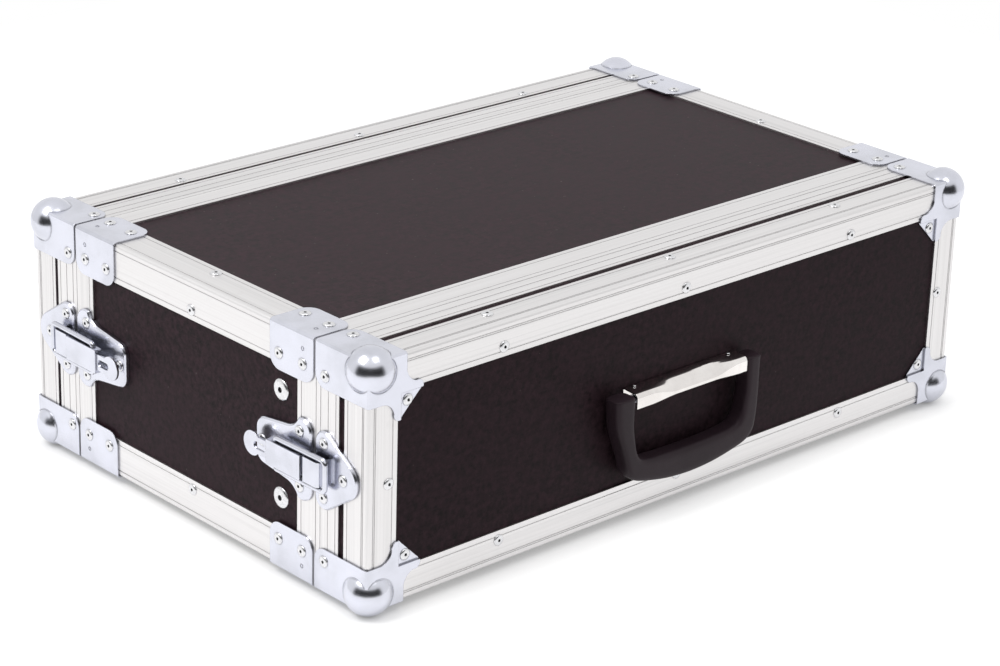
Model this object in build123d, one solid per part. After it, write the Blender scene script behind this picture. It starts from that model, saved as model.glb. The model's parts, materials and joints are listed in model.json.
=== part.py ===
"""A 19-inch rack case of 3 units: a plywood sleeve with aluminium edges, and two lids that lift off.

Millimetres, +Z up, the front lid towards -Y. The pieces are drawn in the case's own frame, which has
x from the middle, y from the front lid's face and z from the underside of the aluminium. They are
then moved so that the origin lies under the middle of the whole object, where it stands.
"""

from build123d import *
import os

os.makedirs("parts", exist_ok=True)

# The rack that the case holds
RACK_UNITS = 3
RACK_UNIT = 44.45
RACK_PANEL_WIDTH = 482.6
RACK_HOLE_INSET = 8.75
RACK_HOLE_RADIUS = 3.1
RACK_HEIGHT_PLAY = 3.65
RACK_SIDE_PLAY = 11.7

# Walls
PLY = 9.0
SKIN = 1.5
WALL = PLY + 2 * SKIN
PANEL_GAP = 0.3

# The case
CASE_WIDTH = RACK_PANEL_WIDTH + 2 * RACK_SIDE_PLAY + 2 * WALL
CASE_HEIGHT = RACK_UNITS * RACK_UNIT + RACK_HEIGHT_PLAY + 2 * WALL
CASE_DEPTH = 338.0
FRONT_LID_DEPTH = 48.0
REAR_LID_DEPTH = 46.0
HALF_WIDTH = CASE_WIDTH / 2
MID_HEIGHT = CASE_HEIGHT / 2
FRONT_SEAM = FRONT_LID_DEPTH
REAR_SEAM = CASE_DEPTH - REAR_LID_DEPTH

# Edge profiles with a slot for a panel on each side of a square hollow corner
BODY_FLANGE = 26.0
LID_FLANGE = 22.5
INNER_FLANGE = 22.0
EDGE_ROUND = 2.0
GROOVE_WIDTH = 0.6
GROOVE_DEPTH = 0.35
GROOVE_INSET = 4.0

# Rim profiles, a tongue on the sleeve and a groove on each lid
SEAM_GAP = 0.4
BODY_RIM = 17.5
LID_RIM = 22.0
RIM_INNER = 14.0
TONGUE_THICK = 2.8
TONGUE_LENGTH = 4.0
TONGUE_PLAY = 0.4

# Sheet-steel corners and brackets
PLATE = 1.2
FOLD_ROUND = 2.2
BRACKET_START = 1.5
BRACKET_LENGTH = 41.0
BRACKET_LEG = 30.0
BRACKET_CORNER = 9.0
BRACKET_RIVET_EDGE = 19.0
BRACKET_RIVET_ENDS = (10.0, 32.5)
BALL_RADIUS = 15.0
BALL_INSET = 9.5
BALL_PROUD = BALL_RADIUS - BALL_INSET
CORNER_LEG = 28.2
CORNER_END_GAP = 0.6
CORNER_WAIST = 8.5
CORNER_HOLLOW = (29.9, 14.8)
CORNER_NECK = (36.0, 18.8)
CORNER_TIP = (41.2, 22.6)
CORNER_SHOULDER = (39.2, 26.3)
CORNER_RIVET_EDGE = 20.0
CORNER_RIVET_DEPTH = 38.5
CORNER_TAB_RIVET = 30.0

# Rivets
RIVET_RADIUS = 3.3
RIVET_HEAD = 1.1
RIVET_SIDES = 8
FLANGE_RIVET_INSET = 16.0
FLANGE_RIVET_PITCH = 156.0
FLANGE_RIVET_SHIFT = -3.0
BODY_RIVET_INSET = 19.5
RAIL_RIVET_RADIUS = 7.5
RAIL_RIVET_HEAD = 1.6

# Rack rails
RAIL_THICK = 2.0
RAIL_SETBACK = 18.0
RAIL_SIDE_LEG = 33.0
RAIL_FACE_LAND = 7.5
RAIL_RIVET_Z = (-34.7, 36.8)

# Latches, drawn with u along the case towards the lid, v across and w out of the end face
LATCH_DISH = 2.4
DISH_EDGE = 1.0
LATCH_LOBE = (-11.0, 18.0, 9.0)
LATCH_BODY_LOBE = (-46.5, 7.5, 8.0)
LATCH_WAIST = ((-27.0, 18.4), (-60.0, 14.0))
LATCH_SCALLOP = 14.0
LATCH_RIVETS = ((-12.5, 18.0), (-12.5, -18.0), (-48.5, 0.0))
LATCH_JOGGLE = BODY_RIM + 1.0
LEVER_PIVOT = (-6.0, 8.0)
BAIL_PIVOT = (-28.0, 8.3)
PIN_RADIUS = 1.4
PIN_PLAY = 0.08
LEVER_SHEET = 1.0
LEVER_HALF_WIDTH = 8.0
EAR_RADIUS = 2.0
EAR_FOOT = (-4.5, -0.8)
EAR_SHEET = 1.5
EAR_OUTER = LEVER_HALF_WIDTH - LEVER_SHEET - 0.2
LEVER_TOP = 11.2
LEVER_FOOT = 6.0
LEVER_FACE_START = -2.0
LEVER_FACE_END = -34.0
LEVER_EYE = 3.2
THUMB_CENTRE = -48.7
THUMB_RADIUS = 8.0
THUMB_NECK = 5.5
THUMB_HOLE = (-47.0, -35.5)
THUMB_HOLE_RADIUS = 2.4
THUMB_SHEET = 1.5
THUMB_HEIGHT = 8.6
WIRE_RADIUS = 1.75
WIRE_SIDES = 8
BAIL_HALF_WIDTH = LEVER_HALF_WIDTH + WIRE_RADIUS + 0.35
BAIL_BEND = 3.0
BAIL_END_BEND = 1.9
BAR = (17.6, 7.3)
HOOK_START = -0.4
HOOK_CREST = 11.5
HOOK_END = 13.5
HOOK_TOP = 10.0
HOOK_LIP = 8.6
HOOK_HALF_WIDTH = LEVER_HALF_WIDTH + 0.1
KEEPER_LOBE = (10.0, 17.5, 8.0)
KEEPER_TIP = (28.0, 12.5)

# Handle on the front lid, a little left of its middle
HANDLE_MIDDLE = -5.0
HANDLE_PIVOT_OUT = 7.0
HANDLE_PIVOT_Z = 84.5
PIVOT_BAR_RADIUS = 3.0
HANDLE_PLAY = 0.08
HANDLE_HALF_WIDTH = 65.0
HANDLE_FOOT_HALF_WIDTH = 60.0
HANDLE_LEG = 14.0
HANDLE_THICK = 12.0
HANDLE_PROUD = HANDLE_PIVOT_OUT + HANDLE_THICK / 2
HANDLE_ROUND = 3.0
LEG_TOP = 88.6
KNEE_Z = 64.0
GRIP_BOTTOM = 24.3
GRIP_CORNER_Z = 32.0
GRIP_TOP = 40.0
GRIP_SHOULDER_Z = 43.0
SADDLE_HALF_WIDTH = 49.9
SADDLE_OUT = 14.0
SADDLE_TOP = 90.1
SADDLE_TOP_FALL = 0.9
SADDLE_LIP = 79.4
SADDLE_REAR_LIP = 77.0
SADDLE_CURL = 3.6
SADDLE_RIVET_X = 42.7
SADDLE_RIVET_OUT = 3.0
SADDLE_RIVET_RADIUS = 1.1
SADDLE_RIVET_HEAD = 0.6

# From the case's own frame to the part's frame
TO_PART = Pos(0, (HANDLE_PROUD - CASE_DEPTH - BALL_PROUD) / 2, BALL_PROUD)

ENDS = {"left": -1, "right": 1}
SEAMS = {"front": (FRONT_SEAM, -1), "rear": (REAR_SEAM, 1)}
SIDES = {
    "top": ((0, 0, -1), (0, CASE_HEIGHT)),
    "bottom": ((0, 0, 1), (0, 0)),
    "left": ((1, 0, 0), (-HALF_WIDTH, MID_HEIGHT)),
    "right": ((-1, 0, 0), (HALF_WIDTH, MID_HEIGHT)),
}


def save(name, *shapes):
    """Write one node, moved to the part's frame."""
    solids = [solid for shape in shapes for solid in shape.solids()]
    export_step(TO_PART * Compound(children=solids), f"parts/{name}.step")


def rect(p0, p1, q0, q1):
    """A flat rectangle by its limits."""
    return Pos((p0 + p1) / 2, (q0 + q1) / 2) * Rectangle(p1 - p0, q1 - q0)


def slab(x0, x1, y0, y1, z0, z1):
    """A box by its limits."""
    middle = Pos((x0 + x1) / 2, (y0 + y1) / 2, (z0 + z1) / 2)
    return middle * Box(x1 - x0, y1 - y0, z1 - z0)


def turned(sketch):
    """A section with its two directions swapped."""
    return mirror(sketch, about=Plane(origin=(0, 0, 0), z_dir=(1, -1, 0)))


def corner_angle(leg, wall, rounding, start=0.0):
    """The section of an angle whose outer corner is rounded."""
    square = rect(start, leg, start, leg)
    corner = square.vertices().sort_by_distance((start, start, 0))[0]
    return fillet(corner, rounding) - rect(start + wall, leg, start + wall, leg)


def double_angle(leg, groove_places):
    """An outer angle, a square hollow corner and two inner legs, which leave a slot for each panel."""
    section = corner_angle(leg, SKIN, EDGE_ROUND)
    section += rect(SKIN, WALL, SKIN, WALL) - rect(SKIN, WALL - SKIN, SKIN, WALL - SKIN)
    inner_leg = rect(WALL, INNER_FLANGE, WALL - SKIN, WALL)
    section += inner_leg + turned(inner_leg)
    for place in groove_places:
        groove = rect(place, place + GROOVE_WIDTH, 0, GROOVE_DEPTH)
        section -= groove + turned(groove)
    return section


def body_rim_section():
    """The sleeve's rim: a channel over the panel's edge with a tongue towards the lid."""
    near = SEAM_GAP / 2
    section = rect(0, SKIN, near, BODY_RIM) + rect(WALL - SKIN, WALL, near, RIM_INNER)
    section += rect(0, WALL, near, near + SKIN)
    tongue_middle = WALL / 2
    section += rect(
        tongue_middle - TONGUE_THICK / 2, tongue_middle + TONGUE_THICK / 2, -TONGUE_LENGTH, near
    )
    groove_place = BODY_RIM - GROOVE_INSET
    return section - rect(0, GROOVE_DEPTH, groove_place, groove_place + GROOVE_WIDTH)


def lid_rim_section():
    """A lid's rim: a channel over the wall's edge with a groove that takes the tongue."""
    near = SEAM_GAP / 2
    low = WALL / 2 - TONGUE_THICK / 2 - TONGUE_PLAY
    high = WALL / 2 + TONGUE_THICK / 2 + TONGUE_PLAY
    section = rect(0, SKIN, near, LID_RIM) + rect(WALL - SKIN, WALL, near, RIM_INNER + SKIN)
    section += rect(0, WALL, near, near + SKIN)
    section += rect(low - SKIN, high + SKIN, near, GROOVE_FLOOR + SKIN)
    section -= rect(low, high, 0, GROOVE_FLOOR)
    for place in (GROOVE_INSET, LID_RIM / 2, LID_RIM - GROOVE_INSET):
        section -= rect(0, GROOVE_DEPTH, place, place + GROOVE_WIDTH)
    return section


GROOVE_FLOOR = TONGUE_LENGTH + TONGUE_PLAY
BODY_PLY_START = SEAM_GAP / 2 + SKIN + PANEL_GAP
LID_PLY_START = GROOVE_FLOOR + SKIN + PANEL_GAP
FACE_PLY_START = WALL + PANEL_GAP


def mitre(side):
    """The wedge of the case's outline that one side of a frame keeps, cut at 45 degrees."""
    reach = MID_HEIGHT * 0.8
    x0, x1, z0, z1 = -HALF_WIDTH, HALF_WIDTH, 0, CASE_HEIGHT
    outer = {
        "top": ((x0, z1), (x1, z1), (x1 - reach, z1 - reach), (x0 + reach, z1 - reach)),
        "bottom": ((x0, z0), (x1, z0), (x1 - reach, z0 + reach), (x0 + reach, z0 + reach)),
        "left": ((x0, z0), (x0, z1), (x0 + reach, z1 - reach), (x0 + reach, z0 + reach)),
        "right": ((x1, z0), (x1, z1), (x1 - reach, z1 - reach), (x1 - reach, z0 + reach)),
    }[side]
    face = make_face(Polyline(*[(x, 0, z) for x, z in outer], close=True))
    return extrude(face, amount=2 * CASE_DEPTH, both=True)


def frame_side(section, side, y, towards):
    """One mitred length of a section, whose first direction is into the case from a side."""
    inward, (x, z) = SIDES[side]
    inward = Vector(*inward)
    along = inward.cross(Vector(0, towards, 0))
    plane = Plane(origin=(x, y, z), x_dir=inward, z_dir=along)
    return extrude(plane * section, amount=HALF_WIDTH, both=True) & mitre(side)


def rivet(point, normal, radius=RIVET_RADIUS, head=RIVET_HEAD):
    """A rivet's head, seated on a face, with few sides because the case has more than a hundred."""
    return Plane(origin=point, z_dir=normal) * extrude(RegularPolygon(radius, RIVET_SIDES), amount=head)


def mirrored_x(shape):
    """The same shape on the other side of the case."""
    return mirror(shape, about=Plane.YZ)


def mirrored_z(shape):
    """The same shape at the other of top and bottom."""
    return mirror(shape, about=Plane(origin=(0, 0, MID_HEIGHT), z_dir=(0, 0, 1)))


def mirrored_y(shape):
    """The same shape at the other end of the case's depth."""
    return mirror(shape, about=Plane(origin=(0, CASE_DEPTH / 2, 0), z_dir=(0, 1, 0)))


def at_four_edges(shape):
    """A shape by the left lower long edge, and its copies by the other three."""
    pair = [shape, mirrored_x(shape)]
    return pair + [mirrored_z(one) for one in pair]


def build_sleeve_panels():
    """Four plywood panels, each set below the aluminium by its wall."""
    y0 = FRONT_SEAM + BODY_PLY_START
    y1 = REAR_SEAM - BODY_PLY_START
    edge = WALL + PANEL_GAP
    low = slab(-HALF_WIDTH + edge, HALF_WIDTH - edge, y0, y1, SKIN, SKIN + PLY)
    left = slab(-HALF_WIDTH + SKIN, -HALF_WIDTH + SKIN + PLY, y0, y1, edge, CASE_HEIGHT - edge)
    save("bottom_panel", low)
    save("top_panel", mirrored_z(low))
    save("left_panel", left)
    save("right_panel", mirrored_x(left))


def build_edge_profiles():
    """Four long edges, which butt against the rims under the corner brackets."""
    y0 = FRONT_SEAM + BODY_RIM
    y1 = REAR_SEAM - BODY_RIM
    section = double_angle(BODY_FLANGE, (GROOVE_INSET, BODY_FLANGE - GROOVE_INSET))
    plane = Plane(origin=(-HALF_WIDTH, y1, 0), x_dir=(1, 0, 0), z_dir=(0, -1, 0))
    left_low = extrude(plane * section, amount=y1 - y0)
    names = ("bottom_left", "bottom_right", "top_left", "top_right")
    for name, profile in zip(names, at_four_edges(left_low)):
        save(f"edge_profile_{name}", profile)


def build_rims():
    """The sleeve's two tongued rims, mitred at their corners."""
    for end, (seam, towards) in SEAMS.items():
        for side in SIDES:
            save(f"{end}_rim_{side}", frame_side(body_rim_section(), side, seam, -towards))


def build_brackets():
    """Folded steel brackets over the joints of the rims and the long edges, and their rivets."""
    section = corner_angle(BRACKET_LEG, PLATE, FOLD_ROUND, start=-PLATE)
    y0 = FRONT_SEAM + BRACKET_START
    y1 = y0 + BRACKET_LENGTH
    plane = Plane(origin=(-HALF_WIDTH, y1, 0), x_dir=(1, 0, 0), z_dir=(0, -1, 0))
    bracket = extrude(plane * section, amount=BRACKET_LENGTH)
    free = bracket.edges().filter_by(Axis.Z).group_by(Axis.X)[-1]
    free += bracket.edges().filter_by(Axis.X).group_by(Axis.Z)[-1]
    bracket = fillet(free, BRACKET_CORNER)
    heads = []
    for along in BRACKET_RIVET_ENDS:
        heads.append(rivet((-HALF_WIDTH + BRACKET_RIVET_EDGE, y0 + along, -PLATE), (0, 0, -1)))
        heads.append(rivet((-HALF_WIDTH - PLATE, y0 + along, BRACKET_RIVET_EDGE), (-1, 0, 0)))
    front = at_four_edges(bracket)
    to_rear = Pos(0, REAR_SEAM + FRONT_SEAM - CASE_DEPTH, 0)
    save("front_corner_brackets", *front)
    save("rear_corner_brackets", *[to_rear * mirrored_y(one) for one in front])
    front_heads = at_four_edges(Compound(children=heads))
    save("bracket_rivets", *front_heads, *[to_rear * mirrored_y(one) for one in front_heads])
    middle_y = (FRONT_SEAM + REAR_SEAM) / 2
    edge_heads = [
        rivet((-HALF_WIDTH + BODY_RIVET_INSET, middle_y, 0), (0, 0, -1)),
        rivet((-HALF_WIDTH, middle_y, BODY_RIVET_INSET), (-1, 0, 0)),
    ]
    save("edge_rivets", *at_four_edges(Compound(children=edge_heads)))


def build_rails():
    """Two steel angles that take the equipment's front panels, and the rivets that hold them."""
    face_y = FRONT_SEAM + RAIL_SETBACK
    wall_x = -HALF_WIDTH + SKIN + PLY
    hole_x = -(RACK_PANEL_WIDTH / 2 - RACK_HOLE_INSET)
    low = WALL + PANEL_GAP
    high = CASE_HEIGHT - WALL - PANEL_GAP
    rail = slab(wall_x, hole_x + RAIL_FACE_LAND, face_y, face_y + RAIL_THICK, low, high)
    rail += slab(wall_x, wall_x + RAIL_THICK, face_y, face_y + RAIL_SIDE_LEG, low, high)
    notch_top = INNER_FLANGE + PANEL_GAP
    for z0, z1 in ((0, notch_top), (CASE_HEIGHT - notch_top, CASE_HEIGHT)):
        far_y = face_y + RAIL_SIDE_LEG + PANEL_GAP
        rail -= slab(wall_x - 1, wall_x + RAIL_THICK + PANEL_GAP, face_y - 1, far_y, z0, z1)
    for z in rack_hole_heights():
        drill = Rot(90, 0, 0) * Cylinder(RACK_HOLE_RADIUS, 4 * RAIL_THICK)
        rail -= Pos(hole_x, face_y + RAIL_THICK / 2, z) * drill
    save("rack_rail_left", rail)
    save("rack_rail_right", mirrored_x(rail))
    rivet_y = face_y + RAIL_SIDE_LEG / 2
    heads = [
        rivet(
            (-HALF_WIDTH + SKIN, rivet_y, MID_HEIGHT + z),
            (-1, 0, 0),
            RAIL_RIVET_RADIUS,
            RAIL_RIVET_HEAD,
        )
        for z in RAIL_RIVET_Z
    ]
    save("rail_rivets", *heads, *[mirrored_x(head) for head in heads])


def rack_hole_heights():
    """Three holes in each rack unit, one in its middle and one a seventh of it from each end."""
    bottom = MID_HEIGHT - RACK_UNITS * RACK_UNIT / 2
    shares = (1 / 7, 1 / 2, 6 / 7)
    return [bottom + (unit + share) * RACK_UNIT for unit in range(RACK_UNITS) for share in shares]


def latch_places():
    """Each latch's name, and where its own u, v and w lie at the middle of its seam."""
    places = {}
    for end, (seam, towards) in SEAMS.items():
        for side, out in ENDS.items():
            places[f"{end}_{side}"] = Plane(
                origin=(out * HALF_WIDTH, seam, MID_HEIGHT),
                x_dir=(0, towards, 0),
                z_dir=(out, 0, 0),
            )
    return places


def side_view(outline, half_width, inner=0.0):
    """A shape drawn in u and w, given its width in v."""
    plane = Plane(origin=(0, 0, 0), x_dir=(1, 0, 0), z_dir=(0, -1, 0))
    solid = extrude(plane * outline, amount=half_width, both=True)
    if inner:
        solid -= extrude(plane * outline, amount=inner, both=True)
    return solid


def dished(outline, height):
    """A pressed plate with a bevelled edge."""
    plate = extrude(outline, amount=height)
    return chamfer(plate.edges().group_by(Axis.Z)[-1], DISH_EDGE)


def latch_base():
    """The base plate, deeper behind the rim where the panel lies lower, with two ears for the pin."""
    u, v, r = LATCH_LOBE
    end_u, end_v, end_r = LATCH_BODY_LOBE
    lobes = [Pos(u, side * v) * Circle(r) for side in (1, -1)]
    lobes += [Pos(end_u, side * end_v) * Circle(end_r) for side in (1, -1)]
    outline = make_hull([edge for lobe in lobes for edge in lobe.edges()])
    for side in (1, -1):
        rounds = [Pos(p, side * (q + LATCH_SCALLOP)) * Circle(LATCH_SCALLOP) for p, q in LATCH_WAIST]
        outline -= make_hull([edge for one in rounds for edge in one.edges()])
    panel_part = outline & rect(-CASE_DEPTH, -LATCH_JOGGLE, -CASE_HEIGHT, CASE_HEIGHT)
    base = dished(outline, LATCH_DISH)
    base += Pos(0, 0, -SKIN) * extrude(panel_part, amount=LATCH_DISH)
    pivot_u, pivot_w = LEVER_PIVOT
    foot_start, foot_end = EAR_FOOT
    foot = rect(pivot_u + foot_start, pivot_u + foot_end, DISH_EDGE, LATCH_DISH)
    eye = Pos(pivot_u, pivot_w) * Circle(EAR_RADIUS)
    base += side_view(make_hull([*eye.edges(), *foot.edges()]), EAR_OUTER, EAR_OUTER - EAR_SHEET)
    return base - latch_axle(PIN_RADIUS)


def latch_axle(radius):
    """A cylinder along the lever's axis."""
    pivot_u, pivot_w = LEVER_PIVOT
    return Pos(pivot_u, 0, pivot_w) * Rot(90, 0, 0) * Cylinder(radius, 4 * LEVER_HALF_WIDTH)


def latch_pin():
    """The fixed pin that the lever turns on."""
    return latch_axle(PIN_RADIUS) & slab(
        -CASE_DEPTH, CASE_DEPTH, -LEVER_HALF_WIDTH, LEVER_HALF_WIDTH, 0, LEVER_TOP
    )


def latch_lever():
    """A channel over the ears, with two cheeks, and a thumb tab with a slot in it."""
    bail_u, bail_w = BAIL_PIVOT
    half = LEVER_HALF_WIDTH
    eye = Pos(*LEVER_PIVOT) * Circle(LEVER_EYE)
    side = rect(LEVER_FACE_END, LEVER_FACE_START, LEVER_FOOT, LEVER_TOP)
    cheek = make_hull([*eye.edges(), *side.edges()])
    lever = side_view(cheek, half, half - LEVER_SHEET)
    underside = LEVER_TOP - LEVER_SHEET
    lever += slab(LEVER_FACE_END, LEVER_FACE_START, -half, half, underside, LEVER_TOP)
    tab = Pos(THUMB_CENTRE, 0) * Circle(THUMB_RADIUS)
    tab += rect(THUMB_CENTRE, LEVER_FACE_END, -THUMB_NECK, THUMB_NECK)
    hole_start, hole_end = THUMB_HOLE
    hole_middle = (hole_start + hole_end) / 2
    tab -= Pos(hole_middle, 0) * SlotOverall(hole_end - hole_start, 2 * THUMB_HOLE_RADIUS)
    lever += Pos(0, 0, THUMB_HEIGHT) * extrude(tab, amount=THUMB_SHEET)
    lever += slab(
        LEVER_FACE_END, LEVER_FACE_END + LEVER_SHEET, -half, half, THUMB_HEIGHT, LEVER_TOP
    )
    lever -= latch_axle(PIN_RADIUS + PIN_PLAY)
    bail_hole = Pos(bail_u, 0, bail_w) * Rot(90, 0, 0)
    return lever - bail_hole * Cylinder(WIRE_RADIUS + PIN_PLAY, 4 * LEVER_HALF_WIDTH)


def latch_bail():
    """The bent wire, from one hole in the lever round the hook to the other hole."""
    bail_u, bail_w = BAIL_PIVOT
    bar_u, bar_w = BAR
    inside = LEVER_HALF_WIDTH - LEVER_SHEET - PIN_PLAY
    route = [
        (bail_u, inside, bail_w),
        (bail_u, BAIL_HALF_WIDTH, bail_w),
        (bar_u, BAIL_HALF_WIDTH, bar_w),
        (bar_u, -BAIL_HALF_WIDTH, bar_w),
        (bail_u, -BAIL_HALF_WIDTH, bail_w),
        (bail_u, -inside, bail_w),
    ]
    path = FilletPolyline(*route, radius=[BAIL_END_BEND, BAIL_BEND, BAIL_BEND, BAIL_END_BEND])
    start = Plane(origin=route[0], z_dir=(0, 1, 0))
    return sweep(start * RegularPolygon(WIRE_RADIUS, WIRE_SIDES), path=path)


def latch_keeper():
    """The keeper plate on a lid, with the raised hook that the bail's bar pulls on."""
    u, v, r = KEEPER_LOBE
    tip_u, tip_r = KEEPER_TIP
    lobes = [Pos(u, v) * Circle(r), Pos(u, -v) * Circle(r), Pos(tip_u, 0) * Circle(tip_r)]
    plate = dished(make_hull([edge for lobe in lobes for edge in lobe.edges()]), LATCH_DISH)
    outline = make_face(
        Polyline(
            (HOOK_START, DISH_EDGE),
            (HOOK_START, HOOK_TOP),
            (HOOK_CREST, HOOK_TOP),
            (HOOK_END, HOOK_LIP),
            (HOOK_END, DISH_EDGE),
            close=True,
        )
    )
    hollow = offset(outline, amount=-PLATE, kind=Kind.INTERSECTION)
    hollow &= rect(HOOK_START, HOOK_END, LATCH_DISH, HOOK_TOP)
    return plate + side_view(outline, HOOK_HALF_WIDTH) - side_view(hollow, 2 * HOOK_HALF_WIDTH)


def build_latches():
    """Four latches: base, pin, lever and bail on the sleeve, and a keeper on the lid."""
    base, pin, lever, bail, keeper = (
        make() for make in (latch_base, latch_pin, latch_lever, latch_bail, latch_keeper)
    )
    pins = []
    base_heads = []
    keepers = {"front": [], "rear": []}
    keeper_heads = {"front": [], "rear": []}
    lobe_u, lobe_v, _ = KEEPER_LOBE
    keeper_rivets = ((lobe_u, lobe_v), (lobe_u, -lobe_v), (KEEPER_TIP[0], 0))
    for name, place in latch_places().items():
        save(f"latch_base_{name}", place * base)
        save(f"latch_lever_{name}", place * lever)
        save(f"latch_bail_{name}", place * bail)
        pins.append(place * pin)
        base_heads += [place * rivet((u, v, LATCH_DISH), (0, 0, 1)) for u, v in LATCH_RIVETS]
        end = name.split("_")[0]
        keepers[end].append(place * keeper)
        keeper_heads[end] += [place * rivet((u, v, LATCH_DISH), (0, 0, 1)) for u, v in keeper_rivets]
    save("latch_pivot_pins", *pins)
    save("latch_base_rivets", *base_heads)
    for end in keepers:
        save(f"{end}_latch_keepers", *keepers[end])
        save(f"{end}_keeper_rivets", *keeper_heads[end])


def ball_corner(depth):
    """One steel ball corner at the left lower front corner: three plates round a ball."""
    reach = depth - CORNER_END_GAP
    block = slab(-PLATE, reach, -PLATE, reach, -PLATE, reach)
    near = [edge for edge in block.edges() if sum(abs(c + PLATE) < 0.01 for c in edge.center()) == 2]
    shell = chamfer(near, PLATE) - slab(0, depth, 0, depth, 0, depth)
    lower_half = [
        Line((-PLATE, -PLATE), (CORNER_LEG, -PLATE)),
        Line((CORNER_LEG, -PLATE), (CORNER_LEG, CORNER_WAIST)),
        ThreePointArc((CORNER_LEG, CORNER_WAIST), CORNER_HOLLOW, CORNER_NECK),
        ThreePointArc(CORNER_NECK, CORNER_TIP, CORNER_SHOULDER),
        Line(CORNER_SHOULDER, (sum(CORNER_SHOULDER) / 2, sum(CORNER_SHOULDER) / 2)),
    ]
    across = Plane(origin=(0, 0, 0), z_dir=(1, -1, 0))
    outline = make_face(lower_half + [mirror(line, about=across) for line in lower_half])
    face_plane = Plane(origin=(0, 0, 0), x_dir=(1, 0, 0), z_dir=(0, -1, 0))
    face_mask = extrude(face_plane * outline, amount=2 * PLATE, both=True)
    step = LID_FLANGE + PANEL_GAP
    high_region = slab(-PLATE, step + PLATE, -PLATE, SKIN, -PLATE, depth)
    high_region += slab(-PLATE, depth, -PLATE, SKIN, -PLATE, step + PLATE)
    low_region = slab(step, depth, SKIN - PLATE, SKIN, step, depth)
    riser = slab(step, depth, 0, SKIN, step, depth) - slab(
        step + PLATE, depth, 0, SKIN, step + PLATE, depth
    )
    face_plate = (shell & face_mask & high_region) + (face_mask & (low_region + riser))
    leg_outline = rect(-PLATE, CORNER_LEG, -PLATE, reach)
    corner = leg_outline.vertices().sort_by_distance((CORNER_LEG, reach, 0))[0]
    leg_outline = fillet(corner, BRACKET_CORNER)
    under_plate = shell & extrude(leg_outline, amount=2 * PLATE, both=True)
    end_plane = Plane(origin=(0, 0, 0), x_dir=(0, 0, 1), z_dir=(-1, 0, 0))
    end_outline = end_plane * leg_outline
    end_plate = shell & extrude(end_outline, amount=2 * PLATE, both=True)
    ball = Pos(BALL_INSET, BALL_INSET, BALL_INSET) * Sphere(BALL_RADIUS)
    ball -= slab(0, depth, 0, depth, 0, depth)
    corner_piece = face_plate + under_plate + end_plate + ball
    return Pos(-HALF_WIDTH, 0, 0) * corner_piece


def corner_rivets():
    """The three rivets of one ball corner."""
    return [
        rivet((-HALF_WIDTH + CORNER_TAB_RIVET, SKIN - PLATE, CORNER_TAB_RIVET), (0, -1, 0)),
        rivet((-HALF_WIDTH + CORNER_RIVET_EDGE, CORNER_RIVET_DEPTH, -PLATE), (0, 0, -1)),
        rivet((-HALF_WIDTH - PLATE, CORNER_RIVET_DEPTH, CORNER_RIVET_EDGE), (-1, 0, 0)),
    ]


def flange_rivets():
    """A lid's rivets along its long edges and at the middle of its short ones."""
    heads = []
    for step in (-1, 0, 1):
        x = FLANGE_RIVET_SHIFT + step * FLANGE_RIVET_PITCH
        heads.append(rivet((x, FLANGE_RIVET_INSET, 0), (0, 0, -1)))
        heads.append(rivet((x, 0, FLANGE_RIVET_INSET), (0, -1, 0)))
    heads += [mirrored_z(head) for head in heads]
    end_x = HALF_WIDTH - FLANGE_RIVET_INSET
    return heads + [rivet((x, 0, MID_HEIGHT), (0, -1, 0)) for x in (-end_x, end_x)]


def build_lid(end):
    """One lid: face panel, four walls, two mitred frames, ball corners and rivets."""
    depth = FRONT_LID_DEPTH if end == "front" else REAR_LID_DEPTH
    place = (lambda shape: shape) if end == "front" else mirrored_y
    edge = WALL + PANEL_GAP
    face = slab(-HALF_WIDTH + edge, HALF_WIDTH - edge, SKIN, SKIN + PLY, edge, CASE_HEIGHT - edge)
    y0, y1 = FACE_PLY_START, depth - LID_PLY_START
    low = slab(-HALF_WIDTH + SKIN, HALF_WIDTH - SKIN, y0, y1, SKIN, SKIN + PLY)
    wall_edge = SKIN + PLY
    left = slab(-HALF_WIDTH + SKIN, -HALF_WIDTH + wall_edge, y0, y1, wall_edge, CASE_HEIGHT - wall_edge)
    walls = [low, mirrored_z(low), left, mirrored_x(left)]
    grooves = (GROOVE_INSET, GROOVE_INSET + 2 * GROOVE_WIDTH, LID_FLANGE - GROOVE_INSET)
    angle = double_angle(LID_FLANGE, grooves)
    angles = [frame_side(angle, side, 0, 1) for side in SIDES]
    rims = [frame_side(lid_rim_section(), side, depth, -1) for side in SIDES]
    heads = flange_rivets()
    for group in at_four_edges(Compound(children=corner_rivets())):
        heads += group.solids()
    save(f"{end}_lid_panel", place(face))
    save(f"{end}_lid_walls", *map(place, walls))
    save(f"{end}_lid_angle_frame", *map(place, angles))
    save(f"{end}_lid_rim_frame", *map(place, rims))
    save(f"{end}_ball_corners", *map(place, at_four_edges(ball_corner(depth))))
    save(f"{end}_lid_rivets", *map(place, heads))


def handle_saddle():
    """The bright sheet bracket: a channel that hangs over the pivot bar, open downwards."""
    near, far = PLATE / 2, SADDLE_OUT - PLATE / 2
    top = SADDLE_TOP - PLATE / 2
    path = FilletPolyline(
        (near, SADDLE_REAR_LIP),
        (near, top),
        (far, top - SADDLE_TOP_FALL),
        (far, SADDLE_LIP),
        radius=[PLATE, SADDLE_CURL],
    )
    plane = Plane(origin=(HANDLE_MIDDLE, SKIN, 0), x_dir=(0, -1, 0), z_dir=(-1, 0, 0))
    return extrude(plane * trace(path, PLATE), amount=SADDLE_HALF_WIDTH, both=True)


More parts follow.
